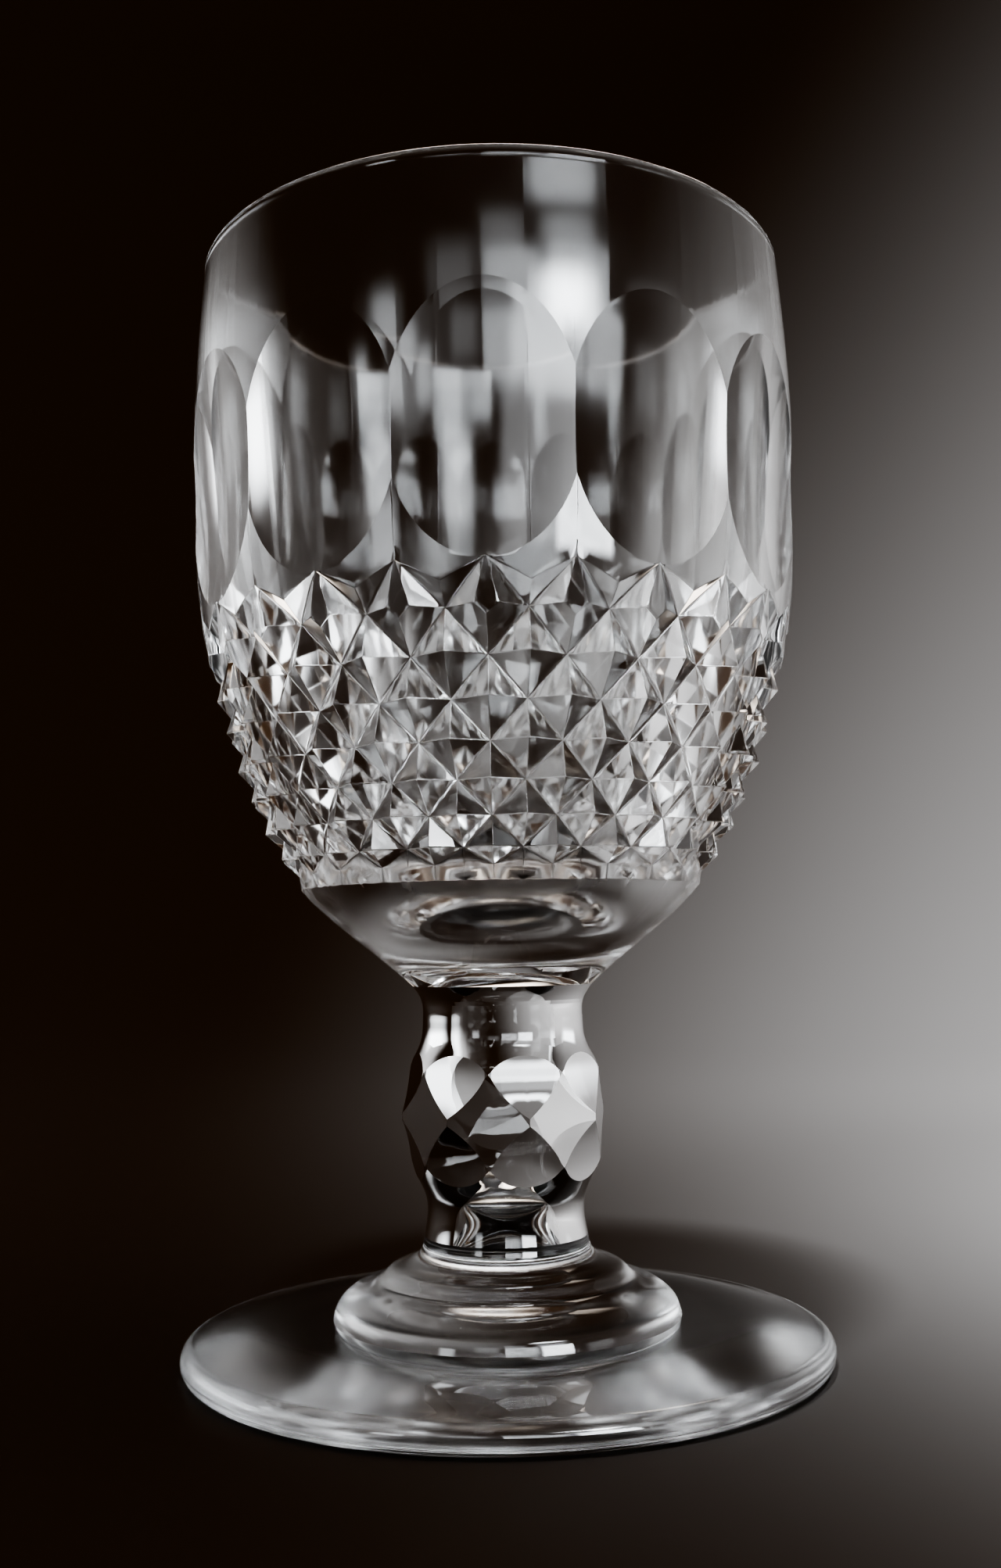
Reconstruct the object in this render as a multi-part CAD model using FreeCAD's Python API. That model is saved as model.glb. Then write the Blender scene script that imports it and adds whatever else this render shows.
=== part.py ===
import FreeCAD, Part
import math
import os

# Stemmed wine glass in cut crystal: a bowl, a stem and a foot, fused end to end.
# Millimetres, +Z up, origin at the middle of the foot's flat underside.

# Overall sizes
TOTAL_HEIGHT = 121.0
FOOT_RADIUS = 35.0
RIM_RADIUS = 32.9
BELLY_RADIUS = 34.0
BELLY_HEIGHT = 99.0

# Heights where the three pieces meet
FOOT_TOP = 13.0
STEM_TOP = 40.0
FOOT_JOINT_RADIUS = 8.95
BOWL_JOINT_RADIUS = 10.0

# Bowl wall: (radius, height) points of the outer face between the stem, the belly and the rim,
# and of the inner face from the rim down to the floor
RIM_THICKNESS = 1.6
BOWL_FLOOR_HEIGHT = 48.5
RIM_EDGE_HEIGHT = TOTAL_HEIGHT - 0.5 * RIM_THICKNESS
LOWER_WALL = [(13.7, 43.2), (20.9, 49.3), (26.2, 57.0), (30.2, 67.0), (33.1, 81.0)]
UPPER_WALL = [(33.65, 110.0)]
INNER_WALL = [
    (31.4, 113.5), (31.1, 107.0), (30.15, 98.5), (28.2, 86.0), (25.3, 72.0), (20.8, 60.0), (14.0, 51.9),
    (6.0, 48.8),
]

# Tall flutes round the upper half of the bowl
FLUTE_COUNT = 12
FLUTE_DEEPEST_Z = 90.8
FLUTE_DEEPEST_RADIUS = 32.57
FLUTE_UPPER_WHEEL = 110.0
FLUTE_LOWER_WHEEL = 130.0
FLUTE_RISE = 20.0
FLUTE_DROP = 14.0
FLUTE_HALF_WIDTH = 12.0

# Diamond band: crossing V-grooves that leave four-sided points between them
DIAMOND_COUNT = 24
DIAMOND_ROWS = 7
BAND_TOP_Z = 80.4
BAND_FIRST_ROW_Z = 76.1
BAND_BOTTOM_Z = 50.7
ROW_STRETCH = 1.04
GROOVE_SLOPE = 0.86
FIRST_GROOVE_DEPTH = 1.9
LAST_GROOVE_DEPTH = 0.8
POINT_SETBACK = 0.05
KITE_OVERSHOOT = 0.9
CUSP_OVERSHOOT = 2.1
LAST_ROW_DROP = 0.1
SLOPE_STEP = 2.0

# The envelope that carries the diamonds runs clear of the bowl above and below the band
CLEAR_RADIUS = 60.0
CLEAR_HEIGHT = 5.0
CLEAR_RISE = 0.6
CLEAR_DROP = 1.5

# Faceted knop on the stem
KNOP_FACETS = 8
KNOP_PHASE_DEG = 15.0
KNOP_CENTRE_Z = 26.0
KNOP_RADIUS = 11.5
KNOP_FACET_DEPTH = 0.95
KNOP_SHOULDER_DEPTH = 0.85
KNOP_SHOULDER_TILT_DEG = 16.4
KNOP_PROFILE_RADIUS = 12.6
KNOP_WHEEL_RADIUS = 14.0
KNOP_WHEEL_HALF_WIDTH = 7.0
KNOP_BLOCK_SIZE = 30.0

# Necks above and below the knop: the radius and half height where they meet its arc, then
# (radius, height) points
KNOP_END_RADIUS = 9.6
KNOP_HALF_HEIGHT = 6.8
LOWER_NECK = [(8.65, 14.8), (8.65, 16.8)]
UPPER_NECK = [(9.1, 34.0), (8.87, 36.2), (8.95, 38.2)]

# Foot: a raised pad round the stem, and a plate that thins outwards to a rounded edge
PAD_RADIUS = 18.9
PAD_EDGE_HEIGHT = 4.6
PAD_RISE = [(9.35, 11.5), (10.9, 10.35), (12.8, 9.6), (13.9, 8.55), (15.8, 7.95), (17.4, 7.1), (18.5, 5.9)]
PLATE_MIDDLE = (27.5, 4.4)
PLATE_EDGE_HEIGHT = 3.2


def vec(r, z):
    """Point of a turned profile, in the XZ plane."""
    return FreeCAD.Vector(r, 0.0, z)


def polar(radius, angle_deg, z):
    """Point at a radius, an azimuth counted from -Y towards +X, and a height."""
    a = math.radians(angle_deg)
    return FreeCAD.Vector(radius * math.sin(a), -radius * math.cos(a), z)


def spline(points):
    """Smooth curve through (radius, height) points."""
    curve = Part.BSplineCurve()
    curve.interpolate([vec(r, z) for r, z in points])
    return curve


def line(a, b):
    return Part.LineSegment(vec(*a), vec(*b)).toShape()


def arc(a, b, c):
    return Part.Arc(vec(*a), vec(*b), vec(*c)).toShape()


def turned(edges):
    """Solid of revolution about Z from a closed chain of profile edges."""
    face = Part.Face(Part.Wire(edges))
    return face.revolve(FreeCAD.Vector(0, 0, 0), FreeCAD.Vector(0, 0, 1), 360.0)


def radius_at(curve, z):
    """Radius of a profile curve at one height, found by halving the parameter."""
    low = curve.FirstParameter
    high = curve.LastParameter
    rising = curve.value(high).z > curve.value(low).z
    for _ in range(48):
        middle = 0.5 * (low + high)
        if (curve.value(middle).z < z) == rising:
            low = middle
        else:
            high = middle
    return curve.value(0.5 * (low + high)).x


OUTER_CURVE = spline([
    (BOWL_JOINT_RADIUS, STEM_TOP),
    *LOWER_WALL,
    (BELLY_RADIUS, BELLY_HEIGHT),
    *UPPER_WALL,
    (RIM_RADIUS, RIM_EDGE_HEIGHT),
])

INNER_CURVE = spline([
    (RIM_RADIUS - RIM_THICKNESS, RIM_EDGE_HEIGHT),
    *INNER_WALL,
    (0.0, BOWL_FLOOR_HEIGHT),
])


def outer_radius(z):
    return radius_at(OUTER_CURVE, z)


def bowl_blank():
    """Bowl before cutting: turned wall, thick at the floor, with a rounded rim."""
    rim_top = (RIM_RADIUS - 0.5 * RIM_THICKNESS, TOTAL_HEIGHT)
    rim_out = (RIM_RADIUS, RIM_EDGE_HEIGHT)
    rim_in = (RIM_RADIUS - RIM_THICKNESS, RIM_EDGE_HEIGHT)
    return turned([
        line((0.0, STEM_TOP), (BOWL_JOINT_RADIUS, STEM_TOP)),
        OUTER_CURVE.toShape(),
        arc(rim_out, rim_top, rim_in),
        INNER_CURVE.toShape(),
        line((0.0, BOWL_FLOOR_HEIGHT), (0.0, STEM_TOP)),
    ])


def flute_point(z):
    """Point of a flute's middle line at a height: a large wheel curve above and below its deepest place."""
    wheel = FLUTE_UPPER_WHEEL if z > FLUTE_DEEPEST_Z else FLUTE_LOWER_WHEEL
    return (FLUTE_DEEPEST_RADIUS + (z - FLUTE_DEEPEST_Z) ** 2 / (2.0 * wheel), z)


def flute_cutter():
    """One flute: flat across, and curved along its length."""
    top = flute_point(FLUTE_DEEPEST_Z + FLUTE_RISE)
    upper = flute_point(FLUTE_DEEPEST_Z + 0.5 * FLUTE_RISE)
    middle = flute_point(FLUTE_DEEPEST_Z)
    lower = flute_point(FLUTE_DEEPEST_Z - 0.5 * FLUTE_DROP)
    end = flute_point(FLUTE_DEEPEST_Z - FLUTE_DROP)
    face = Part.Face(Part.Wire([
        arc(top, upper, middle),
        arc(middle, lower, end),
        line(end, (CLEAR_RADIUS, end[1])),
        line((CLEAR_RADIUS, end[1]), (CLEAR_RADIUS, top[1])),
        line((CLEAR_RADIUS, top[1]), top),
    ]))
    face.translate(FreeCAD.Vector(0, -FLUTE_HALF_WIDTH, 0))
    cutter = face.extrude(FreeCAD.Vector(0, 2.0 * FLUTE_HALF_WIDTH, 0))
    cutter.rotate(FreeCAD.Vector(0, 0, 0), FreeCAD.Vector(0, 0, 1), -90.0)
    return cutter


def around(shape, count, phase_deg=0.0):
    """Evenly spaced copies of a shape about the axis."""
    copies = []
    for index in range(count):
        copy = shape.copy()
        angle = phase_deg + 360.0 * index / count
        copy.rotate(FreeCAD.Vector(0, 0, 0), FreeCAD.Vector(0, 0, 1), angle)
        copies.append(copy)
    return copies


def groove_rows():
    """Heights of the rows where grooves cross; spacing shrinks with the radius."""
    half_pitch = math.pi / DIAMOND_COUNT
    rows = [BAND_FIRST_ROW_Z]
    while len(rows) < DIAMOND_ROWS:
        z = rows[-1]
        below = outer_radius(z - SLOPE_STEP)
        slope = (outer_radius(z) - below) / SLOPE_STEP
        rows.append(z - ROW_STRETCH * half_pitch * below / math.hypot(1.0, slope))
    rows.append(0.5 * (rows[-1] + BAND_BOTTOM_Z) - LAST_ROW_DROP)
    return rows


def groove_depth(row, z):
    """Depth of the groove bottom below the turned surface at a crossing row."""
    if row == 0:
        return FIRST_GROOVE_DEPTH
    if row == DIAMOND_ROWS:
        return LAST_GROOVE_DEPTH
    return GROOVE_SLOPE * outer_radius(z) * math.pi / DIAMOND_COUNT / math.sqrt(2.0)


def diamond_envelope():
    """Closed many-faced solid that holds the bowl and carries the diamond points."""
    pitch = 360.0 / DIAMOND_COUNT
    rows = groove_rows()
    triangles = []

    def crossing(row, step):
        z = rows[row]
        return polar(outer_radius(z) - groove_depth(row, z), step * 0.5 * pitch, z)

    def top_point(step):
        return polar(outer_radius(BAND_TOP_Z) + POINT_SETBACK, step * 0.5 * pitch, BAND_TOP_Z)

    def top_flare(step):
        return polar(outer_radius(BAND_TOP_Z) + CUSP_OVERSHOOT, step * 0.5 * pitch, BAND_TOP_Z)

    def bottom_edge(step):
        return polar(outer_radius(BAND_BOTTOM_Z) + POINT_SETBACK, step * 0.5 * pitch, BAND_BOTTOM_Z)

    def clear_ring(step, z):
        return polar(CLEAR_RADIUS, step * 0.5 * pitch, z)

    top_z = TOTAL_HEIGHT + CLEAR_HEIGHT
    low_z = STEM_TOP - CLEAR_HEIGHT
    over_z = BAND_TOP_Z + CLEAR_RISE
    under_z = BAND_BOTTOM_Z - CLEAR_DROP
    top_centre = FreeCAD.Vector(0, 0, top_z)
    low_centre = FreeCAD.Vector(0, 0, low_z)

    for row in range(DIAMOND_ROWS):
        for index in range(DIAMOND_COUNT):
            step = 2 * index + (row % 2)
            z = rows[row]
            lift = KITE_OVERSHOOT if row == 0 else -POINT_SETBACK
            point = polar(outer_radius(z) + lift, step * 0.5 * pitch, z)
            above = top_point(step) if row == 0 else crossing(row - 1, step)
            below = crossing(row + 1, step)
            left = crossing(row, step - 1)
            right = crossing(row, step + 1)
            triangles += [
                (point, above, left), (point, left, below),
                (point, below, right), (point, right, above),
            ]

    for index in range(DIAMOND_COUNT):
        step = 2 * index
        # groove walls above the first row, out to the scalloped top edge
        here = top_point(step)
        after = top_point(step + 2)
        flare = top_flare(step + 1)
        node = crossing(0, step + 1)
        triangles += [(here, flare, node), (flare, after, node)]
        # groove walls below the last row, down to the band's lower edge
        last = DIAMOND_ROWS - 1
        side = crossing(last, step + 1)
        tip = crossing(last + 1, step)
        next_tip = crossing(last + 1, step + 2)
        under_tip = bottom_edge(step)
        under_side = bottom_edge(step + 1)
        under_next = bottom_edge(step + 2)
        triangles += [
            (tip, under_tip, under_side), (tip, under_side, side),
            (side, under_side, next_tip), (next_tip, under_side, under_next),
        ]

    for step in range(2 * DIAMOND_COUNT):
        even = step % 2 == 0
        here = top_point(step) if even else top_flare(step)
        after = top_flare(step + 1) if even else top_point(step + 1)
        quads = [
            (here, after, clear_ring(step, over_z), clear_ring(step + 1, over_z)),
            (clear_ring(step, over_z), clear_ring(step + 1, over_z),
             clear_ring(step, top_z), clear_ring(step + 1, top_z)),
            (bottom_edge(step), bottom_edge(step + 1),
             clear_ring(step, under_z), clear_ring(step + 1, under_z)),
            (clear_ring(step, under_z), clear_ring(step + 1, under_z),
             clear_ring(step, low_z), clear_ring(step + 1, low_z)),
        ]
        for a, b, c, d in quads:
            triangles += [(a, b, c), (b, d, c)]
        triangles.append((clear_ring(step, top_z), clear_ring(step + 1, top_z), top_centre))
        triangles.append((clear_ring(step, low_z), clear_ring(step + 1, low_z), low_centre))

    faces = [Part.Face(Part.makePolygon([a, b, c, a])) for a, b, c in triangles]
    shell = Part.makeShell(faces)
    shell.sewShape()
    solid = Part.makeSolid(Part.Shell(shell.Faces))
    if solid.Volume < 0:
        solid.reverse()
    return solid


def make_bowl():
    bowl = bowl_blank().cut(around(flute_cutter(), FLUTE_COUNT))
    return bowl.common(diamond_envelope())


def face_cutter():
    """Block that planes one flat facet off the widest part of the knop."""
    half = 0.5 * KNOP_BLOCK_SIZE
    corner = FreeCAD.Vector(KNOP_RADIUS - KNOP_FACET_DEPTH, -half, KNOP_CENTRE_Z - half)
    block = Part.makeBox(KNOP_BLOCK_SIZE, KNOP_BLOCK_SIZE, KNOP_BLOCK_SIZE, corner)
    block.rotate(FreeCAD.Vector(0, 0, 0), FreeCAD.Vector(0, 0, 1), -90.0)
    return block


def shoulder_cutter(side):
    """Wheel that cuts one hollow facet on the knop's upper (1) or lower (-1) shoulder."""
    tilt = math.radians(KNOP_SHOULDER_TILT_DEG)
    out = KNOP_WHEEL_RADIUS - KNOP_SHOULDER_DEPTH + KNOP_PROFILE_RADIUS
    centre_r = KNOP_RADIUS - KNOP_PROFILE_RADIUS + out * math.cos(tilt)
    centre_z = KNOP_CENTRE_Z + side * out * math.sin(tilt)
    start = FreeCAD.Vector(-KNOP_WHEEL_HALF_WIDTH, -centre_r, centre_z)
    return Part.makeCylinder(KNOP_WHEEL_RADIUS, 2.0 * KNOP_WHEEL_HALF_WIDTH, start, FreeCAD.Vector(1, 0, 0))


def make_stem():
    """Turned neck and knop, with three staggered rows of facets on the knop."""
    knop_low = (KNOP_END_RADIUS, KNOP_CENTRE_Z - KNOP_HALF_HEIGHT)
    knop_high = (KNOP_END_RADIUS, KNOP_CENTRE_Z + KNOP_HALF_HEIGHT)
    lower_neck = spline([(FOOT_JOINT_RADIUS, FOOT_TOP), *LOWER_NECK, knop_low])
    upper_neck = spline([knop_high, *UPPER_NECK, (BOWL_JOINT_RADIUS, STEM_TOP)])
    blank = turned([
        line((0.0, FOOT_TOP), (FOOT_JOINT_RADIUS, FOOT_TOP)),
        lower_neck.toShape(),
        arc(knop_low, (KNOP_RADIUS, KNOP_CENTRE_Z), knop_high),
        upper_neck.toShape(),
        line((BOWL_JOINT_RADIUS, STEM_TOP), (0.0, STEM_TOP)),
        line((0.0, STEM_TOP), (0.0, FOOT_TOP)),
    ])
    half_step = 180.0 / KNOP_FACETS
    cutters = around(face_cutter(), KNOP_FACETS, KNOP_PHASE_DEG + half_step)
    cutters += around(shoulder_cutter(1), KNOP_FACETS, KNOP_PHASE_DEG)
    cutters += around(shoulder_cutter(-1), KNOP_FACETS, KNOP_PHASE_DEG)
    return blank.cut(cutters)


def make_foot():
    """Wide flat plate with a rounded edge, a low pad and a curve up to the stem."""
    pad_edge = (PAD_RADIUS, PAD_EDGE_HEIGHT)
    edge_round = 0.5 * PLATE_EDGE_HEIGHT
    edge_top = (FOOT_RADIUS - edge_round, PLATE_EDGE_HEIGHT)
    edge_out = (FOOT_RADIUS, edge_round)
    edge_under = (FOOT_RADIUS - edge_round, 0.0)
    rise = spline([(FOOT_JOINT_RADIUS, FOOT_TOP), *PAD_RISE, pad_edge])
    plate = spline([pad_edge, PLATE_MIDDLE, edge_top])
    return turned([
        line((0.0, 0.0), (0.0, FOOT_TOP)),
        line((0.0, FOOT_TOP), (FOOT_JOINT_RADIUS, FOOT_TOP)),
        rise.toShape(),
        plate.toShape(),
        arc(edge_top, edge_out, edge_under),
        line(edge_under, (0.0, 0.0)),
    ])


os.makedirs("parts", exist_ok=True)
for name, maker in (("bowl", make_bowl), ("stem", make_stem), ("foot", make_foot)):
    shape = maker()
    solid = shape.Solids[0]
    print(name, "solids", len(shape.Solids), "valid", solid.isValid(), "volume", round(solid.Volume, 1))
    solid.exportStep("parts/" + name + ".step")
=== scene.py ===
import math

import bmesh
import bpy
import numpy as np
from mathutils import Matrix, Vector


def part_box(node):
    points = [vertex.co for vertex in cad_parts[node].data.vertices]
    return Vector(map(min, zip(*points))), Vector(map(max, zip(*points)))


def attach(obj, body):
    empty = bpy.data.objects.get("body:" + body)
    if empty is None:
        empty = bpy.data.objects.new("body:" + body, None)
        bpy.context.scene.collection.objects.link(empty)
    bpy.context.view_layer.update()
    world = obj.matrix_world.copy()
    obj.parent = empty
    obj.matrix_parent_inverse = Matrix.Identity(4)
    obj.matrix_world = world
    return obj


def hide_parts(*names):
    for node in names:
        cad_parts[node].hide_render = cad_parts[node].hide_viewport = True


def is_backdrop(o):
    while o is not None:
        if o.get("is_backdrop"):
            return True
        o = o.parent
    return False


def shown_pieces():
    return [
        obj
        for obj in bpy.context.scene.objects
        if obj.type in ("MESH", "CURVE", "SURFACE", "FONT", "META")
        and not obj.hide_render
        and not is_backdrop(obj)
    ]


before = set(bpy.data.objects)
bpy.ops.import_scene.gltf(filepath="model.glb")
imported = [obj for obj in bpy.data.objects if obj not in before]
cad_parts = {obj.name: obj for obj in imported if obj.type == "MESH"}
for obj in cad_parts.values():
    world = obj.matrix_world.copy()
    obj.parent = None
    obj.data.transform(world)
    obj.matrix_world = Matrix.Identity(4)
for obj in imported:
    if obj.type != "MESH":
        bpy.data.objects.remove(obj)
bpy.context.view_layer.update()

# Wine glass in cut crystal. Shapes are worked out in millimetres, +Z up, azimuths from -Y towards +X.
MM = 0.001

# Sizes read from the frame
bowl_low, bowl_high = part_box("bowl")
foot_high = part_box("foot")[1]
TOTAL_HEIGHT = bowl_high[2] / MM
FOOT_RADIUS = foot_high[0] / MM
FOOT_TOP = foot_high[2] / MM
STEM_TOP = bowl_low[2] / MM

# The same driving sizes as the CAD model's
FOOT_JOINT_RADIUS = 8.95
BOWL_JOINT_RADIUS = 10.0

# Bowl wall: (radius, height) points of the outer and inner faces
RIM_RADIUS = 32.9
RIM_THICKNESS = 1.6
RIM_EDGE = TOTAL_HEIGHT - 0.5 * RIM_THICKNESS
FLOOR_HEIGHT = 48.5
OUTER_WALL = [
    (13.7, 43.2), (20.9, 49.3), (26.2, 57.0), (30.2, 67.0), (33.1, 81.0), (34.0, 99.0), (33.65, 110.0),
]
INNER_WALL = [
    (31.4, 113.5), (31.1, 107.0), (30.15, 98.5), (28.2, 86.0), (25.3, 72.0), (20.8, 60.0), (14.0, 51.9),
    (6.0, 48.8),
]

# Tall flutes; the arch at their top and the point at their foot lie within the search heights
FLUTES = 12
FLUTE_DEEPEST_Z = 90.8
FLUTE_DEEPEST_RADIUS = 32.57
FLUTE_UPPER_WHEEL = 110.0
FLUTE_LOWER_WHEEL = 130.0
FLUTE_SEARCH_TOP = 114.0
FLUTE_SEARCH_BOTTOM = 76.0

# Diamond band: heights, and how deep the grooves go where they cross
DIAMONDS = 24
ROWS = 7
BAND_TOP = 80.4
BAND_FIRST = 76.1
BAND_BOTTOM = 50.7
ROW_STRETCH = 1.04
GROOVE_SLOPE = 0.86
FIRST_DEPTH = 1.9
LAST_DEPTH = 0.8
LAST_ROW_DROP = 0.1
SLOPE_STEP = 2.0

# Diamond points lie just under the turned face; the first row's and the scallops' lie outside it, so
# that the wall cuts them off
SETBACK = 0.05
KITE_RISE = 0.9
CUSP_RISE = 2.1

# The bowl's radius at the band, for turning a width into an angle, and how far over it edges stay crisp
BAND_RADIUS = 33.0
BAND_MARGIN = 0.3

# Polished rounding of the band's grooves and ridges, and the most of a face's height that it takes
GROOVE_ROUND = 0.22
EDGE_ROUND = 0.07
ROUND_SHARE = 0.3

# Rows of points up a column of the bowl: the base, the first row's kites, then the plain wall and the flute
BASE_ROWS = 18
KITE_ROWS = [1, 2, 2, 2, 2]
FLUTE_ROWS = [5, 8, 16, 8]
INNER_ROWS = 71
RIM_ROWS = 17

# Points nearer than this, in metres, weld into one, and shorter edges collapse
WELD = 2e-6
COLLAPSE = 1e-6

# Heights nearer than this, in millimetres, count as the same, and so do smaller shares of a cell
SAME_HEIGHT = 1e-4
ON_RIDGE = 1e-6

# Angles from which an edge stays sharp
BAND_EDGE_DEG = 50.0
FLUTE_EDGE_DEG = 4.0
STEM_EDGE_DEG = 7.0
FOOT_EDGE_DEG = 12.0

# Knop, and the necks above and below it
KNOP_FACETS = 8
KNOP_PHASE = 15.0
KNOP_Z = 26.0
KNOP_RADIUS = 11.5
KNOP_FACE = 0.95
KNOP_SHOULDER = 0.85
KNOP_TILT = 16.4
KNOP_PROFILE = 12.6
KNOP_WHEEL = 14.0
KNOP_END_RADIUS = 9.6
KNOP_HALF_HEIGHT = 6.8
LOWER_NECK = [(8.65, 14.8), (8.65, 16.8)]
UPPER_NECK = [(9.1, 34.0), (8.87, 36.2), (8.95, 38.2)]

# Facets end within this height of the knop's middle, and the rows of points run on to the second
KNOP_CUT_REACH = 8.2
KNOP_ROWS_END = 8.4
STEM_ROWS = [12, 4, 7, 8, 7, 4, 14]
FACET_COLUMNS = 24
FACET_SAMPLES = 1200
TOUCHING = 1e-9
UNCUT = 99.0

# Foot
PAD_RADIUS = 18.9
PAD_EDGE = 4.6
PAD_RISE = [(9.35, 11.5), (10.9, 10.35), (12.8, 9.6), (13.9, 8.55), (15.8, 7.95), (17.4, 7.1), (18.5, 5.9)]
PLATE_MIDDLE = (27.5, 4.4)
PLATE_EDGE = 3.2
PLATE_ROUND = 0.5 * PLATE_EDGE
FOOT_COLUMNS = 288
RISE_ROWS = 61
PLATE_ROWS = 21
UNDER_ROWS = 20
UNDER_INNER_RADIUS = 2.0


# ---------------------------------------------------------------- curves
def smooth_curve(points, samples=400):
    """Natural cubic spline through (r, z) points, spaced by chord length, as a dense polyline."""
    p = np.array(points, float)
    t = np.r_[0.0, np.cumsum(np.hypot(*np.diff(p, axis=0).T))]
    n = len(p)
    h = np.diff(t)
    system = np.eye(n)
    right = np.zeros((n, 2))
    for i in range(1, n - 1):
        system[i, i - 1:i + 2] = h[i - 1], 2.0 * (h[i - 1] + h[i]), h[i]
        right[i] = 6.0 * ((p[i + 1] - p[i]) / h[i] - (p[i] - p[i - 1]) / h[i - 1])
    m = np.linalg.solve(system, right)
    s = np.linspace(0.0, t[-1], samples)
    k = np.clip(np.searchsorted(t, s, side="right") - 1, 0, n - 2)
    a = ((t[k + 1] - s) / h[k])[:, None]
    b = ((s - t[k]) / h[k])[:, None]
    hk = h[k][:, None]
    return a * p[k] + b * p[k + 1] + ((a ** 3 - a) * m[k] + (b ** 3 - b) * m[k + 1]) * hk ** 2 / 6.0


def along(curve, fractions):
    """Points at the given fractions of a polyline's length."""
    d = np.r_[0.0, np.cumsum(np.hypot(*np.diff(curve, axis=0).T))]
    s = np.asarray(fractions) * d[-1]
    return np.c_[np.interp(s, d, curve[:, 0]), np.interp(s, d, curve[:, 1])]


def arc_through(a, b, c, samples=21):
    """Points along the circular arc from a over b to c, each (r, z)."""
    a, b, c = (np.array(v, float) for v in (a, b, c))
    chords = 2.0 * np.array((b - a, c - a))
    centre = np.linalg.solve(chords, np.array((b @ b - a @ a, c @ c - a @ a)))
    start, end = (math.atan2(v[1] - centre[1], v[0] - centre[0]) for v in (a, c))
    radius = np.hypot(*(a - centre))
    turn = np.linspace(start, end, samples)
    return np.c_[centre[0] + radius * np.cos(turn), centre[1] + radius * np.sin(turn)]


OUTER = smooth_curve([(BOWL_JOINT_RADIUS, STEM_TOP), *OUTER_WALL, (RIM_RADIUS, RIM_EDGE)])
INNER = smooth_curve([(RIM_RADIUS - RIM_THICKNESS, RIM_EDGE), *INNER_WALL, (0.0, FLOOR_HEIGHT)])


def surface(z):
    """Radius of the bowl's outer face before it is cut."""
    return np.interp(z, OUTER[:, 1], OUTER[:, 0])


def crossing(f, low, high):
    """Where f changes sign between two heights, by halving."""
    sign = f(low) > 0.0
    for _ in range(40):
        middle = 0.5 * (low + high)
        if (f(middle) > 0.0) == sign:
            low = middle
        else:
            high = middle
    return 0.5 * (low + high)


# ---------------------------------------------------------------- meshes
def grid_mesh(name, columns, crisp, cap=None, inside=None):
    """Ring mesh from columns of (azimuth, radii, heights), with weighted normals.

    crisp(height) gives the angle in degrees from which an edge there stays sharp, cap adds a centre
    point at that height, and faces from the row inside onwards take the second material.
    """
    count = len(columns)
    rows = len(columns[0][1])
    verts = []
    for angle, radii, heights in columns:
        a = math.radians(angle)
        for r, z in zip(radii, heights):
            verts.append((r * math.sin(a) * MM, -r * math.cos(a) * MM, z * MM))
    faces = []
    slots = []
    for i in range(count):
        j = (i + 1) % count
        for k in range(rows - 1):
            faces.append((i * rows + k, i * rows + k + 1, j * rows + k + 1, j * rows + k))
            slots.append(1 if inside is not None and k >= inside else 0)
    if cap is not None:
        centre = len(verts)
        verts.append((0.0, 0.0, cap * MM))
        for i in range(count):
            j = (i + 1) % count
            faces.append((i * rows + rows - 1, centre, j * rows + rows - 1))
            slots.append(0 if inside is None else 1)
    mesh = bpy.data.meshes.new(name)
    mesh.from_pydata(verts, [], faces)
    mesh.polygons.foreach_set("material_index", slots)
    bm = bmesh.new()
    bm.from_mesh(mesh)
    bmesh.ops.remove_doubles(bm, verts=bm.verts, dist=WELD)
    bmesh.ops.dissolve_degenerate(bm, edges=bm.edges, dist=COLLAPSE)
    bmesh.ops.recalc_face_normals(bm, faces=bm.faces)
    for face in bm.faces:
        face.smooth = True
    for edge in bm.edges:
        height = 0.5 * (edge.verts[0].co.z + edge.verts[1].co.z) / MM
        edge.smooth = edge.calc_face_angle(0.0) < math.radians(crisp(height))
    bm.to_mesh(mesh)
    bm.free()
    obj = bpy.data.objects.new(name, mesh)
    bpy.context.scene.collection.objects.link(obj)
    weighted = obj.modifiers.new("weighted", "WEIGHTED_NORMAL")
    weighted.keep_sharp = True
    return obj


def point(radius, angle, z):
    """Point at a radius, an azimuth in degrees and a height."""
    a = math.radians(angle)
    return np.array((radius * math.sin(a), -radius * math.cos(a), z))


def plane_radius(triangle, angle, z):
    """Radius at an azimuth and height of the plane through three points."""
    p, q, r = triangle
    n = np.cross(q - p, r - p)
    a = math.radians(angle)
    along_radius = n[0] * math.sin(a) - n[1] * math.cos(a)
    return (n @ p - n[2] * z) / along_radius


# ---------------------------------------------------------------- bowl
HALF = 180.0 / DIAMONDS


def groove_rows():
    """Heights of the rows where grooves cross; spacing shrinks with the radius."""
    rows = [BAND_FIRST]
    while len(rows) < ROWS:
        below = surface(rows[-1] - SLOPE_STEP)
        slope = (surface(rows[-1]) - below) / SLOPE_STEP
        rows.append(rows[-1] - ROW_STRETCH * math.radians(HALF) * below / math.hypot(1.0, slope))
    rows.append(0.5 * (rows[-1] + BAND_BOTTOM) - LAST_ROW_DROP)
    return rows


CELL_ROWS = groove_rows()


def depth(row):
    """Depth of the groove bottom below the turned face at a crossing row."""
    if row == 0:
        return FIRST_DEPTH
    if row == ROWS:
        return LAST_DEPTH
    return GROOVE_SLOPE * surface(CELL_ROWS[row]) * math.pi / DIAMONDS / math.sqrt(2.0)


def node(row, angle):
    """Groove crossing on a row."""
    z = CELL_ROWS[row]
    return point(surface(z) - depth(row), angle, z)


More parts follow.
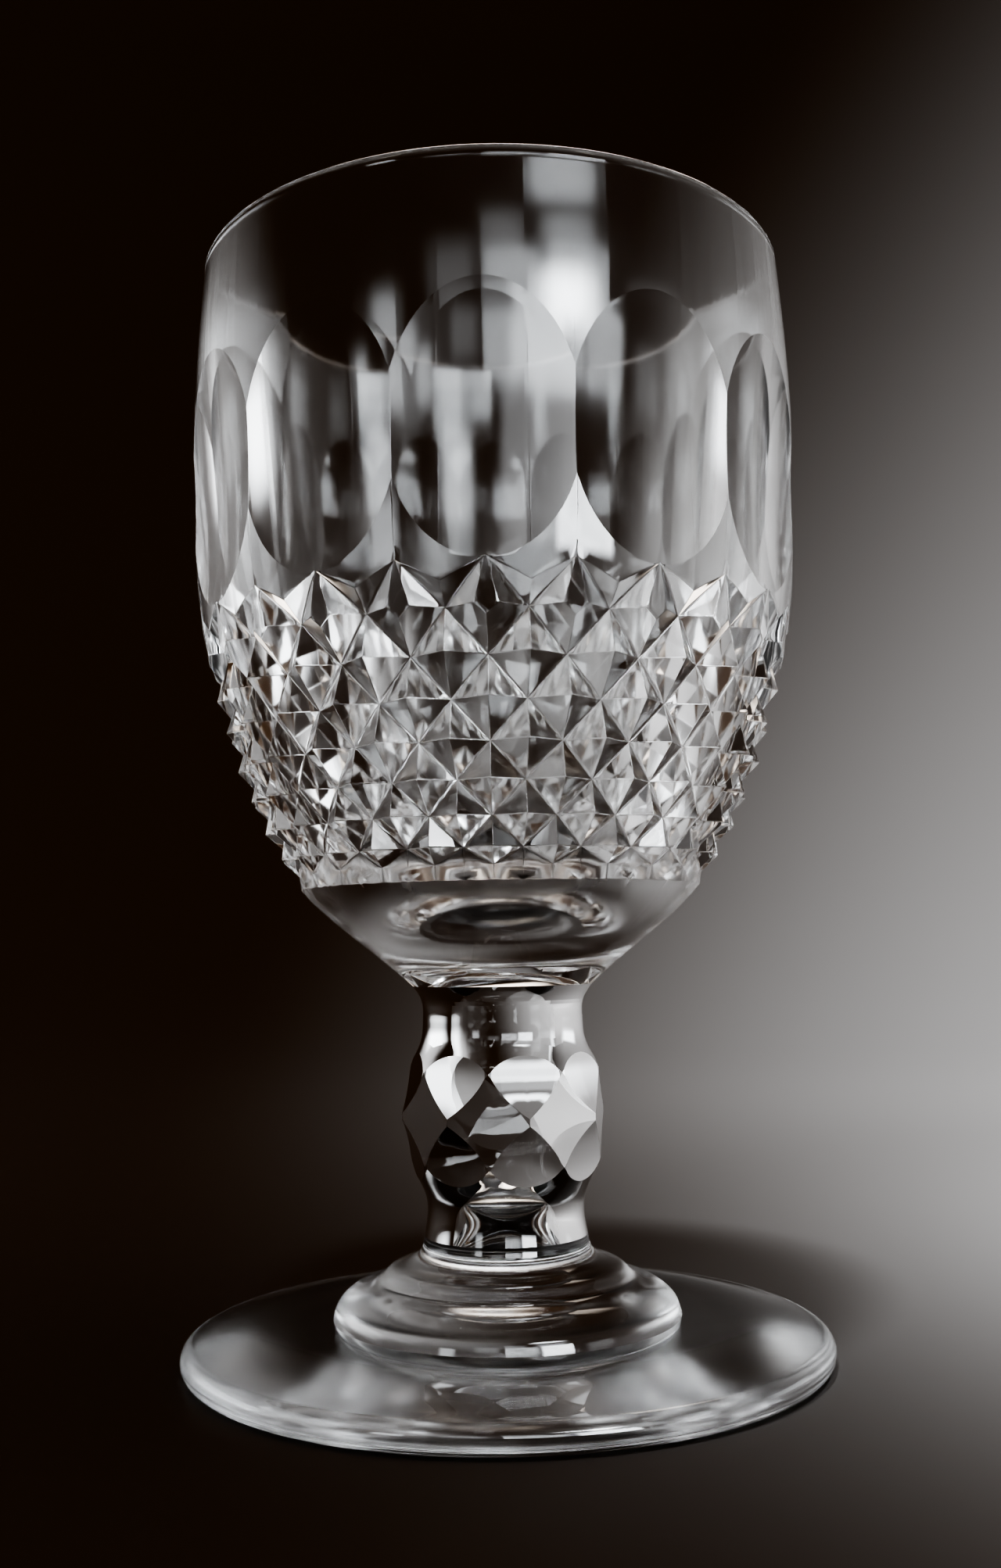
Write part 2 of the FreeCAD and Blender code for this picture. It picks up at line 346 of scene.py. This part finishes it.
def peak(row, angle):
    """Diamond point on a row; the first row's stays uncut, so its virtual point stands proud."""
    z = CELL_ROWS[row]
    return point(surface(z) + (KITE_RISE if row == 0 else -SETBACK), angle, z)


def flute_base(z):
    """Distance of a flute's flat from the axis at a height."""
    wheel = FLUTE_UPPER_WHEEL if z > FLUTE_DEEPEST_Z else FLUTE_LOWER_WHEEL
    return FLUTE_DEEPEST_RADIUS + (z - FLUTE_DEEPEST_Z) ** 2 / (2.0 * wheel)


def split(stops, counts):
    """Heights between stops, each interval cut into its own number of steps."""
    out = [stops[0]]
    for a, b, n in zip(stops, stops[1:], counts):
        out += [a + (b - a) * (i + 1) / n for i in range(n)]
    return out


def bowl_column(angle):
    """One vertical line of the bowl's outer face, from the joint up to the rim: radii and heights."""
    pitch = 360.0 / FLUTES
    off = (angle + 0.5 * pitch) % pitch - 0.5 * pitch
    lean = math.cos(math.radians(off))

    def flute(z):
        return flute_base(z) / lean

    arch = crossing(lambda z: flute(z) - surface(z), FLUTE_DEEPEST_Z, FLUTE_SEARCH_TOP)
    spire = crossing(lambda z: flute(z) - surface(z), FLUTE_DEEPEST_Z, FLUTE_SEARCH_BOTTOM)

    # fold the azimuth into one half cell: 0 at a diamond of the first row, HALF at its side crossing
    near = (angle + HALF) % (2.0 * HALF) - HALF
    u = abs(near)
    share = u / HALF
    top = point(surface(BAND_TOP) + SETBACK, 0.0, BAND_TOP)
    flare = point(surface(BAND_TOP) + CUSP_RISE, HALF, BAND_TOP)

    def line(z_at_0, z_at_half):
        return z_at_0 + share * (z_at_half - z_at_0)

    z_first = CELL_ROWS[0]
    upper_wall = (top, flare, node(0, HALF))
    upper_face = (top, peak(0, 0.0), node(0, HALF))
    lower_face = (peak(0, 0.0), node(1, 0.0), node(0, HALF))
    groove_top = line(BAND_TOP, z_first)

    def above(tri):
        return lambda z: plane_radius(tri, u, z) - surface(z)

    scallop = crossing(above(upper_wall), groove_top, BAND_TOP) if share > ON_RIDGE else BAND_TOP
    proud = above(upper_face)(z_first) > 0.0
    groove_next = line(CELL_ROWS[1], z_first)
    if proud and share > ON_RIDGE:
        kite_up = crossing(above(upper_face), z_first, groove_top)
    else:
        kite_up = BAND_TOP
    kite_low = crossing(above(lower_face), z_first, groove_next) if proud else z_first - EDGE_ROUND
    if not proud:
        kite_up = z_first + EDGE_ROUND

    # stops are heights from the joint upwards, and planes say what lies between each pair of them
    stops = [STEM_TOP, BAND_BOTTOM]
    planes = ["skin"]
    last = ROWS - 1
    under_tip = point(surface(BAND_BOTTOM) + SETBACK, 0.0, BAND_BOTTOM)
    under_side = point(surface(BAND_BOTTOM) + SETBACK, HALF, BAND_BOTTOM)
    stops += [line(CELL_ROWS[ROWS], BAND_BOTTOM), line(CELL_ROWS[ROWS], CELL_ROWS[last])]
    planes += [(node(ROWS, 0.0), under_tip, under_side), (node(ROWS, 0.0), under_side, node(last, HALF))]
    for row in range(last, 0, -1):
        even = row % 2 == 0
        # crossings of this row lie at HALF on even rows and at 0 on odd ones
        here = node(row, HALF if even else 0.0)
        other = 0.0 if even else HALF
        below = node(row + 1, other)
        up = node(row - 1, other)
        tip = peak(row, other)
        z_here = CELL_ROWS[row]
        z_up = CELL_ROWS[row - 1]
        stops += [z_here, line(z_up, z_here) if even else line(z_here, z_up)]
        planes += [(tip, here, below), (tip, here, up)]
    stops += [kite_low, z_first, kite_up, groove_top, scallop]
    planes += [lower_face, "skin" if proud else lower_face, "skin" if proud else upper_face,
               upper_face, upper_wall]
    stops += [spire, FLUTE_DEEPEST_Z, arch, RIM_EDGE]
    planes += ["skin", "flute", "flute", "skin"]
    counts = [BASE_ROWS, 1, 1] + [1, 1] * last + KITE_ROWS + FLUTE_ROWS
    # rows of ridges get a narrow rounding, and the grooves between them a wider one
    rounding = [0.0, EDGE_ROUND, GROOVE_ROUND]
    rounding += [GROOVE_ROUND, EDGE_ROUND] * last + [GROOVE_ROUND, EDGE_ROUND, EDGE_ROUND]
    rounding += [EDGE_ROUND, GROOVE_ROUND, EDGE_ROUND, 0.0, 0.0, 0.0, 0.0]

    def radius(what, z):
        if what == "skin":
            return surface(z)
        if what == "flute":
            return min(flute(z), surface(z))
        return min(plane_radius(what, u, z), surface(z) + 2.0 * SETBACK)

    lengths = [0.0] + [high - low for low, high in zip(stops, stops[1:])] + [0.0]
    widths = [max(0.0, min(w, ROUND_SHARE * lengths[i], ROUND_SHARE * lengths[i + 1]))
              for i, w in enumerate(rounding)]
    heights = [stops[0]]
    radii = [float(surface(stops[0]))]
    for i, (what, n) in enumerate(zip(planes, counts)):
        low, high = stops[i] + widths[i], stops[i + 1] - widths[i + 1]
        steps = range(0 if rounding[i] else 1, n + 1)
        for s in steps:
            z = low + (high - low) * s / n
            heights.append(float(z))
            radii.append(float(radius(what, z)))
        if rounding[i + 1]:
            # the middle of the rounding lies halfway between the crease and the chord across it
            z = stops[i + 1]
            after = radius(planes[i + 1], z + widths[i + 1])
            heights.append(float(z))
            radii.append(float(0.5 * radius(what, z) + 0.25 * (radii[-1] + after)))
    return radii, heights


def settled(radii, heights):
    """Radii with neighbouring points that share a height moved together, so that they weld into one."""
    group = np.r_[0, np.cumsum(np.abs(np.diff(heights)) > SAME_HEIGHT)]
    return list((np.bincount(group, radii) / np.bincount(group))[group])


def make_bowl():
    """Bowl from one column per azimuth: the cut outer face, the rim's half round and the inner face."""
    # a column passes through the side corners of the kites the first row keeps
    face = (point(surface(BAND_TOP) + SETBACK, 0.0, BAND_TOP), peak(0, 0.0), node(0, HALF))
    corner = crossing(lambda a: plane_radius(face, a, CELL_ROWS[0]) - surface(CELL_ROWS[0]), 0.0, HALF)
    edge = math.degrees(EDGE_ROUND / BAND_RADIUS)
    # steps are azimuths from a ridge to the next groove end
    steps = split([0.0, edge, corner, HALF - edge, HALF], [1, 2, 4, 1])
    angles = []
    for cell in range(DIAMONDS):
        middle = cell * 2.0 * HALF
        angles += [middle + s for s in steps[:-1]]
        angles += [middle + 2.0 * HALF - s for s in steps[:0:-1]]
    outlines = [bowl_column(angle) for angle in angles]
    turns = len(steps) - 1
    inner = along(INNER, np.linspace(0.0, 1.0, INNER_ROWS))[1:-1]
    rim = RIM_RADIUS - 0.5 * RIM_THICKNESS
    turn = np.linspace(0.0, math.pi, RIM_ROWS)[1:]
    columns = []
    for i, (angle, (radii, heights)) in enumerate(zip(angles, outlines)):
        if i % turns == 0:
            # upright ridges and groove ends: halfway between the crease and its two neighbours
            beside = outlines[(i + 1) % len(angles)][0]
            radii = settled([0.5 * (r + s) for r, s in zip(radii, beside)], heights)
        radii = radii + [rim + 0.5 * RIM_THICKNESS * math.cos(t) for t in turn]
        heights = heights + [RIM_EDGE + 0.5 * RIM_THICKNESS * math.sin(t) for t in turn]
        columns.append((angle, radii + list(inner[:, 0]), heights + list(inner[:, 1])))
    inside = len(outlines[0][0]) + len(turn) - 1

    def crisp(height):
        return BAND_EDGE_DEG if height < BAND_TOP + BAND_MARGIN else FLUTE_EDGE_DEG

    return grid_mesh("crystal_bowl", columns, crisp, cap=FLOOR_HEIGHT, inside=inside)


# ---------------------------------------------------------------- stem
def stem_outline():
    """Outline of the stem before its facets are cut: two necks with the knop's arc between them."""
    turn = np.linspace(-1.0, 1.0, 161) * math.asin(KNOP_HALF_HEIGHT / KNOP_PROFILE)
    bulge = (np.cos(turn) - np.cos(turn[0])) / (1.0 - np.cos(turn[0]))
    knop_low = (KNOP_END_RADIUS, KNOP_Z - KNOP_HALF_HEIGHT)
    knop_high = (KNOP_END_RADIUS, KNOP_Z + KNOP_HALF_HEIGHT)
    return np.r_[
        smooth_curve([(FOOT_JOINT_RADIUS, FOOT_TOP), *LOWER_NECK, knop_low], 80)[:-1],
        np.c_[KNOP_END_RADIUS + bulge * (KNOP_RADIUS - KNOP_END_RADIUS), KNOP_Z + KNOP_PROFILE * np.sin(turn)],
        smooth_curve([knop_high, *UPPER_NECK, (BOWL_JOINT_RADIUS, STEM_TOP)], 80)[1:],
    ]


STEM = stem_outline()


def stem_radius(z):
    """Radius of the stem before its facets are cut."""
    return np.interp(z, STEM[:, 1], STEM[:, 0])


def knop_cut(z, off, side):
    """Radius of a shoulder wheel's cut at a height; off is the azimuth from its middle."""
    tilt = math.radians(KNOP_TILT)
    out = KNOP_WHEEL - KNOP_SHOULDER + KNOP_PROFILE
    centre_r = KNOP_RADIUS - KNOP_PROFILE + out * math.cos(tilt)
    centre_z = KNOP_Z + side * out * math.sin(tilt)
    reach = KNOP_WHEEL ** 2 - (z - centre_z) ** 2
    if reach <= 0.0:
        return UNCUT
    return (centre_r - math.sqrt(reach)) / math.cos(math.radians(off))


def stem_column(angle):
    """One vertical line of the stem, with more points where the facets are: radii and heights."""
    pitch = 360.0 / KNOP_FACETS
    off = (angle - KNOP_PHASE + 0.5 * pitch) % pitch - 0.5 * pitch
    face = (KNOP_RADIUS - KNOP_FACE) / math.cos(math.radians(0.5 * pitch - abs(off)))

    def cut(z):
        side = 1 if z > KNOP_Z else -1
        return knop_cut(z, off, side)

    zs = np.linspace(KNOP_Z, KNOP_Z + KNOP_CUT_REACH, FACET_SAMPLES)
    skin = stem_radius(zs)
    wheel = np.array([cut(z) for z in zs + TOUCHING])
    lowest = np.minimum(skin, np.minimum(wheel, face))
    in_face = face <= lowest + TOUCHING
    in_wheel = (wheel <= lowest + TOUCHING) & ~in_face
    face_end = zs[in_face].max() - KNOP_Z if in_face.any() else 0.0
    wheel_end = zs[in_wheel].max() - KNOP_Z if in_wheel.any() else face_end
    wheel_end = max(wheel_end, face_end)
    ends = [-KNOP_ROWS_END, -wheel_end, -face_end, face_end, wheel_end, KNOP_ROWS_END]
    stops = [FOOT_TOP, *[KNOP_Z + end for end in ends], STEM_TOP]
    heights = split(stops, STEM_ROWS)
    radii = []
    for z in heights:
        flat = face if abs(z - KNOP_Z) < KNOP_CUT_REACH else UNCUT
        radii.append(float(min(stem_radius(z), cut(z), flat)))
    return radii, heights


def make_stem():
    """Stem from one column per azimuth, open at both joints."""
    count = KNOP_FACETS * FACET_COLUMNS
    columns = []
    for i in range(count):
        angle = KNOP_PHASE + 360.0 * i / count
        columns.append((angle, *stem_column(angle)))
    return grid_mesh("crystal_stem", columns, lambda height: STEM_EDGE_DEG)


# ---------------------------------------------------------------- foot
def make_foot():
    """Turned foot, open at the joint; the underside takes the second material."""
    flat_radius = FOOT_RADIUS - PLATE_ROUND
    rise = smooth_curve([(FOOT_JOINT_RADIUS, FOOT_TOP), *PAD_RISE, (PAD_RADIUS, PAD_EDGE)])
    plate = smooth_curve([(PAD_RADIUS, PAD_EDGE), PLATE_MIDDLE, (flat_radius, PLATE_EDGE)])
    edge = arc_through((flat_radius, PLATE_EDGE), (FOOT_RADIUS, PLATE_ROUND), (flat_radius, 0.0))
    underside = np.c_[np.linspace(flat_radius, UNDER_INNER_RADIUS, UNDER_ROWS), np.zeros(UNDER_ROWS)]
    profile = np.r_[
        along(rise, np.linspace(0.0, 1.0, RISE_ROWS)),
        along(plate, np.linspace(0.0, 1.0, PLATE_ROWS))[1:-1],
        edge,
        underside[1:],
    ]
    columns = [(360.0 * i / FOOT_COLUMNS, profile[:, 0], profile[:, 1]) for i in range(FOOT_COLUMNS)]
    under = len(profile) - len(underside)
    return grid_mesh("crystal_foot", columns, lambda height: FOOT_EDGE_DEG, cap=0.0, inside=under)


# ---------------------------------------------------------------- material
CRYSTAL_IOR = 1.545
WAVE = 0.000012
STEM_WAVE = 0.000008


def noise_node(nodes, scale, detail):
    noise = nodes.new("ShaderNodeTexNoise")
    noise.inputs["Scale"].default_value = scale
    noise.inputs["Detail"].default_value = detail
    return noise


def crystal_material(name, wave, wear, base=0.0):
    """Lead crystal: clear, high index, with faint waves in the worked glass and slight polish haze.

    wave is the height of the waves in metres, and the roughness runs from base to base + wear.
    """
    mat = bpy.data.materials.new(name)
    mat.use_nodes = True
    nodes, links = mat.node_tree.nodes, mat.node_tree.links
    nodes.clear()
    out = nodes.new("ShaderNodeOutputMaterial")
    glass = nodes.new("ShaderNodeBsdfPrincipled")
    glass.inputs["Transmission Weight"].default_value = 1.0
    glass.inputs["IOR"].default_value = CRYSTAL_IOR
    coords = nodes.new("ShaderNodeTexCoord")

    tint = noise_node(nodes, 22.0, 3.0)
    ramp = nodes.new("ShaderNodeValToRGB")
    ramp.color_ramp.elements[0].position = 0.3
    ramp.color_ramp.elements[0].color = (0.955, 0.965, 0.97, 1.0)
    ramp.color_ramp.elements[1].position = 0.7
    ramp.color_ramp.elements[1].color = (0.99, 0.992, 0.99, 1.0)
    links.new(coords.outputs["Object"], tint.inputs["Vector"])
    links.new(tint.outputs["Fac"], ramp.inputs["Fac"])
    links.new(ramp.outputs["Color"], glass.inputs["Base Color"])

    haze = noise_node(nodes, 160.0, 4.0)
    spread = nodes.new("ShaderNodeMapRange")
    spread.inputs["From Min"].default_value = 0.45
    spread.inputs["From Max"].default_value = 0.75
    spread.inputs["To Min"].default_value = base
    spread.inputs["To Max"].default_value = base + wear
    links.new(coords.outputs["Object"], haze.inputs["Vector"])
    links.new(haze.outputs["Fac"], spread.inputs["Value"])
    links.new(spread.outputs["Result"], glass.inputs["Roughness"])

    stretch = nodes.new("ShaderNodeMapping")
    stretch.inputs["Scale"].default_value = (1.0, 1.0, 0.35)
    ripple = noise_node(nodes, 95.0, 1.5)
    bump = nodes.new("ShaderNodeBump")
    bump.inputs["Strength"].default_value = 1.0
    bump.inputs["Distance"].default_value = wave
    links.new(coords.outputs["Object"], stretch.inputs["Vector"])
    links.new(stretch.outputs["Vector"], ripple.inputs["Vector"])
    links.new(ripple.outputs["Fac"], bump.inputs["Height"])
    links.new(bump.outputs["Normal"], glass.inputs["Normal"])
    links.new(glass.outputs["BSDF"], out.inputs["Surface"])
    return mat


def finish_piece(obj, cad_node, *mats):
    for mat in mats:
        obj.data.materials.append(mat)
    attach(obj, "root")
    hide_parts(cad_node)


# the bowl's inside has more haze than its polished cuts, and the underside is worn by standing
finish_piece(make_bowl(), "bowl", crystal_material("crystal_bowl", WAVE, 0.02),
             crystal_material("crystal_bowl_inside", WAVE, 0.03, 0.10))
finish_piece(make_stem(), "stem", crystal_material("crystal_stem", STEM_WAVE, 0.02))
finish_piece(make_foot(), "foot", crystal_material("crystal_foot", WAVE, 0.03),
             crystal_material("crystal_foot_underside", WAVE, 0.06, 0.12))


# ---------------------------------------------------------------- floor, backdrop and light
FLOOR_COLOUR = (0.60, 0.59, 0.58)
FLOOR_ROUGHNESS = 0.60
FLOOR_GLOSS = 0.1
FLOOR_SHADE = 0.97

# Metres: the flat middle, the radius where the cove stands upright, and its height
COVE_FLAT = 0.40
COVE_RADIUS = 1.40
COVE_HEIGHT = 1.30
COVE_SIDES = 96

# The floor lies this far under the foot, so that the two faces don't coincide
FLOOR_GAP = 0.00005


def floor_material():
    """Matt pale floor with a very faint change of tone."""
    mat = bpy.data.materials.new("floor")
    mat.use_nodes = True
    nodes, links = mat.node_tree.nodes, mat.node_tree.links
    shader = nodes["Principled BSDF"]
    shader.inputs["Roughness"].default_value = FLOOR_ROUGHNESS
    shader.inputs["Specular IOR Level"].default_value = FLOOR_GLOSS
    noise = nodes.new("ShaderNodeTexNoise")
    noise.inputs["Scale"].default_value = 9.0
    ramp = nodes.new("ShaderNodeValToRGB")
    ramp.color_ramp.elements[0].color = (*[c * FLOOR_SHADE for c in FLOOR_COLOUR], 1.0)
    ramp.color_ramp.elements[1].color = (*FLOOR_COLOUR, 1.0)
    links.new(noise.outputs["Fac"], ramp.inputs["Fac"])
    links.new(ramp.outputs["Color"], shader.inputs["Base Color"])
    return mat


def make_cove():
    """Flat floor that sweeps up into a backdrop all round, so that no horizon shows."""
    bm = bmesh.new()
    bend = COVE_RADIUS - COVE_FLAT
    turn = np.linspace(0.0, 0.5 * math.pi, 25)
    profile = [(share * COVE_FLAT, 0.0) for share in (0.25, 0.5, 0.75, 1.0)]
    profile += [(COVE_FLAT + bend * math.sin(t), bend * (1.0 - math.cos(t))) for t in turn[1:]]
    profile.append((COVE_RADIUS, COVE_HEIGHT))
    angles = [math.tau * i / COVE_SIDES for i in range(COVE_SIDES)]
    rings = [[bm.verts.new((r * math.sin(a), r * math.cos(a), z)) for a in angles] for r, z in profile]
    bm.faces.new(rings[0])
    for lower, upper in zip(rings, rings[1:]):
        for i in range(COVE_SIDES):
            j = (i + 1) % COVE_SIDES
            bm.faces.new((lower[i], lower[j], upper[j], upper[i]))
    bmesh.ops.recalc_face_normals(bm, faces=bm.faces)
    for face in bm.faces:
        face.smooth = True
    mesh = bpy.data.meshes.new("floor")
    bm.to_mesh(mesh)
    bm.free()
    obj = bpy.data.objects.new("floor", mesh)
    obj.location = (0.0, 0.0, -FLOOR_GAP)
    bpy.context.scene.collection.objects.link(obj)
    mesh.materials.append(floor_material())
    obj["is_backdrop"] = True
    return obj


def make_world():
    """Dim warm fill, a little brighter from the right."""
    world = bpy.data.worlds.new("studio")
    bpy.context.scene.world = world
    world.use_nodes = True
    nodes, links = world.node_tree.nodes, world.node_tree.links
    direction = nodes.new("ShaderNodeTexCoord")
    parts = nodes.new("ShaderNodeSeparateXYZ")
    shade = nodes.new("ShaderNodeValToRGB")
    shade.color_ramp.elements[0].color = (0.060, 0.030, 0.012, 1.0)
    shade.color_ramp.elements[1].color = (0.085, 0.048, 0.024, 1.0)
    links.new(direction.outputs["Generated"], parts.inputs["Vector"])
    links.new(parts.outputs["X"], shade.inputs["Fac"])
    links.new(shade.outputs["Color"], nodes["Background"].inputs["Color"])


floor = make_cove()
make_world()

COOL = (0.92, 0.96, 1.0)
WARM = (1.0, 0.90, 0.80)
POOL_COLOUR = (0.95, 0.97, 1.0)
LIGHT_DISTANCE = 0.60
LIGHT_AIM = (0.0, 0.0, 0.07)
WINDOW_AIM = (0.0, 0.0, 0.10)

# Lights for the glass leave the floor alone, and lights for the floor leave the glass alone
glass_only = bpy.data.collections.new("glass_only")
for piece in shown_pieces():
    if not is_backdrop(piece):
        glass_only.objects.link(piece)
floor_only = bpy.data.collections.new("floor_only")
floor_only.objects.link(floor)


def feather(tree, coordinate, low, high):
    """1 inside a light's edges, falling smoothly to 0 over the shares low and high of its size."""
    fades = []
    for start, end in ((0.0, low), (1.0, 1.0 - high)):
        fade = tree.nodes.new("ShaderNodeMapRange")
        fade.interpolation_type = "SMOOTHSTEP"
        fade.inputs["From Min"].default_value = start
        fade.inputs["From Max"].default_value = end
        tree.links.new(coordinate, fade.inputs["Value"])
        fades.append(fade.outputs["Result"])
    return times(tree, *fades)


def times(tree, first, second):
    product = tree.nodes.new("ShaderNodeMath")
    product.operation = "MULTIPLY"
    tree.links.new(first, product.inputs[0])
    tree.links.new(second, product.inputs[1])
    return product.outputs["Value"]


def softbox(name, azimuth, elevation, size, power, aim=LIGHT_AIM, distance=LIGHT_DISTANCE, colour=COOL,
            sides=(0.3, 0.3), ends=(0.3, 0.3), cloudy=0.0):
    """Area light on the glass, at an azimuth (0 = the camera's side, + to its right) and an elevation.

    sides and ends are the shares of its width and height over which its edges fade, and cloudy is how
    far its middle varies.
    """
    a, e = math.radians(azimuth), math.radians(elevation)
    data = bpy.data.lights.new(name, "AREA")
    data.shape = "RECTANGLE"
    data.size, data.size_y = size
    data.energy = power
    data.color = colour
    data.use_nodes = True
    tree = data.node_tree
    emission = tree.nodes["Emission"]
    place = tree.nodes.new("ShaderNodeNewGeometry")
    parts = tree.nodes.new("ShaderNodeSeparateXYZ")
    tree.links.new(place.outputs["Parametric"], parts.inputs["Vector"])
    shape = times(tree, feather(tree, parts.outputs["X"], *sides), feather(tree, parts.outputs["Y"], *ends))
    if cloudy:
        noise = noise_node(tree.nodes, 3.0, 1.0)
        tree.links.new(place.outputs["Parametric"], noise.inputs["Vector"])
        level = tree.nodes.new("ShaderNodeMapRange")
        level.inputs["From Min"].default_value = 0.35
        level.inputs["From Max"].default_value = 0.65
        level.inputs["To Min"].default_value = 1.0 - cloudy
        level.inputs["To Max"].default_value = 1.0
        tree.links.new(noise.outputs["Fac"], level.inputs["Value"])
        shape = times(tree, shape, level.outputs["Result"])
    tree.links.new(shape, emission.inputs["Strength"])
    light = bpy.data.objects.new(name, data)
    centre = Vector(aim)
    back = Vector((math.sin(a) * math.cos(e), -math.cos(a) * math.cos(e), math.sin(e)))
    light.location = centre + back * distance
    light.rotation_mode = "QUATERNION"
    light.rotation_quaternion = back.to_track_quat("Z", "Y")
    light.visible_camera = False
    bpy.context.scene.collection.objects.link(light)
    light.light_linking.receiver_collection = glass_only


def spot(name, place, aim, angle, power):
    """Soft round pool of light on the floor and backdrop."""
    data = bpy.data.lights.new(name, "SPOT")
    data.spot_size = math.radians(angle)
    data.spot_blend = 1.0
    data.shadow_soft_size = 0.05
    data.energy = power
    data.color = POOL_COLOUR
    light = bpy.data.objects.new(name, data)
    light.location = place
    light.rotation_mode = "QUATERNION"
    light.rotation_quaternion = (Vector(place) - Vector(aim)).to_track_quat("Z", "Y")
    light.visible_camera = False
    bpy.context.scene.collection.objects.link(light)
    light.light_linking.receiver_collection = floor_only


softbox("window_right", 33.0, 6.5, (0.24, 0.18), 4.2, WINDOW_AIM, sides=(0.15, 0.10), ends=(0.15, 0.15),
        cloudy=0.2)
softbox("window_left", 12.0, 7.0, (0.27, 0.17), 1.5, WINDOW_AIM, sides=(0.04, 0.3), ends=(0.2, 0.2), cloudy=0.3)
softbox("window_upper", 30.0, 17.0, (0.27, 0.11), 0.5, WINDOW_AIM)
softbox("window_milky", 7.0, 17.0, (0.17, 0.11), 0.16, WINDOW_AIM, sides=(0.04, 0.3))
softbox("glare", 29.0, 26.5, (0.30, 0.09), 3.4, WINDOW_AIM, sides=(0.45, 0.45), ends=(0.45, 0.45))
softbox("fill_centre", -12.0, 9.0, (0.22, 0.16), 0.25, WINDOW_AIM)
softbox("side_left", -108.0, 6.0, (0.60, 0.25), 0.9)
softbox("side_right", 62.0, 6.0, (0.27, 0.16), 0.25)
softbox("back_right", 108.0, 6.0, (0.38, 0.20), 0.4)
softbox("fill_left", -37.0, 5.0, (0.14, 0.14), 0.45)
softbox("top_back", 172.0, 50.0, (0.90, 0.40), 4.0, distance=1.20, colour=WARM)
spot("pool_far", (0.0, -0.17, 0.65), (0.82, 0.30, 0.25), 122.0, 55.0)
spot("pool_near", (0.25, -0.02, 0.45), (0.18, 0.02, 0.0), 38.0, 5.0)
spot("pool_left", (-0.30, 0.10, 0.70), (-1.20, 0.55, 0.15), 85.0, 60.0)

# ---------------------------------------------------------------- camera
# Distance from the glass's axis and height in metres, and angles in degrees
FOCAL_PX = 1960.0
IMAGE_LONG = 2006.0
SENSOR = 36.0
CAMERA_DISTANCE = 0.17225
CAMERA_HEIGHT = 0.04407
CAMERA_SIDE = 1.59
CAMERA_PITCH = 6.1
CAMERA_ROLL = 0.97
CAMERA_YAW = 0.064

camera_data = bpy.data.cameras.new("camera")
camera_data.sensor_width = SENSOR
camera_data.lens = SENSOR * FOCAL_PX / IMAGE_LONG
camera_data.clip_start = 0.005
camera_data.clip_end = 10.0
camera = bpy.data.objects.new("camera", camera_data)
bpy.context.scene.collection.objects.link(camera)
bpy.context.scene.camera = camera
side, pitch, roll, yaw = (math.radians(v) for v in (CAMERA_SIDE, CAMERA_PITCH, CAMERA_ROLL, CAMERA_YAW))
camera.location = (CAMERA_DISTANCE * math.sin(side), -CAMERA_DISTANCE * math.cos(side), CAMERA_HEIGHT)
heading = side - yaw
ahead = Vector((-math.sin(heading) * math.cos(pitch), math.cos(heading) * math.cos(pitch), math.sin(pitch)))
right = ahead.cross(Vector((0, 0, 1))).normalized()
up = right.cross(ahead).normalized()
rolled_right = right * math.cos(roll) - up * math.sin(roll)
rolled_up = right * math.sin(roll) + up * math.cos(roll)
camera.rotation_mode = "QUATERNION"
camera.rotation_quaternion = Matrix((rolled_right, rolled_up, -ahead)).transposed().to_quaternion()

# Many bounces inside the cut glass, and none from floor to backdrop, so that the dark parts stay dark
scene = bpy.context.scene
scene.cycles.max_bounces = 32
scene.cycles.transmission_bounces = 28
scene.cycles.glossy_bounces = 16
scene.cycles.diffuse_bounces = 0
scene.cycles.sample_clamp_indirect = 8.0
scene.cycles.blur_glossy = 0.2
scene.cycles.use_denoising = True
scene.view_settings.view_transform = "AgX"
scene.view_settings.look = "AgX - High Contrast"
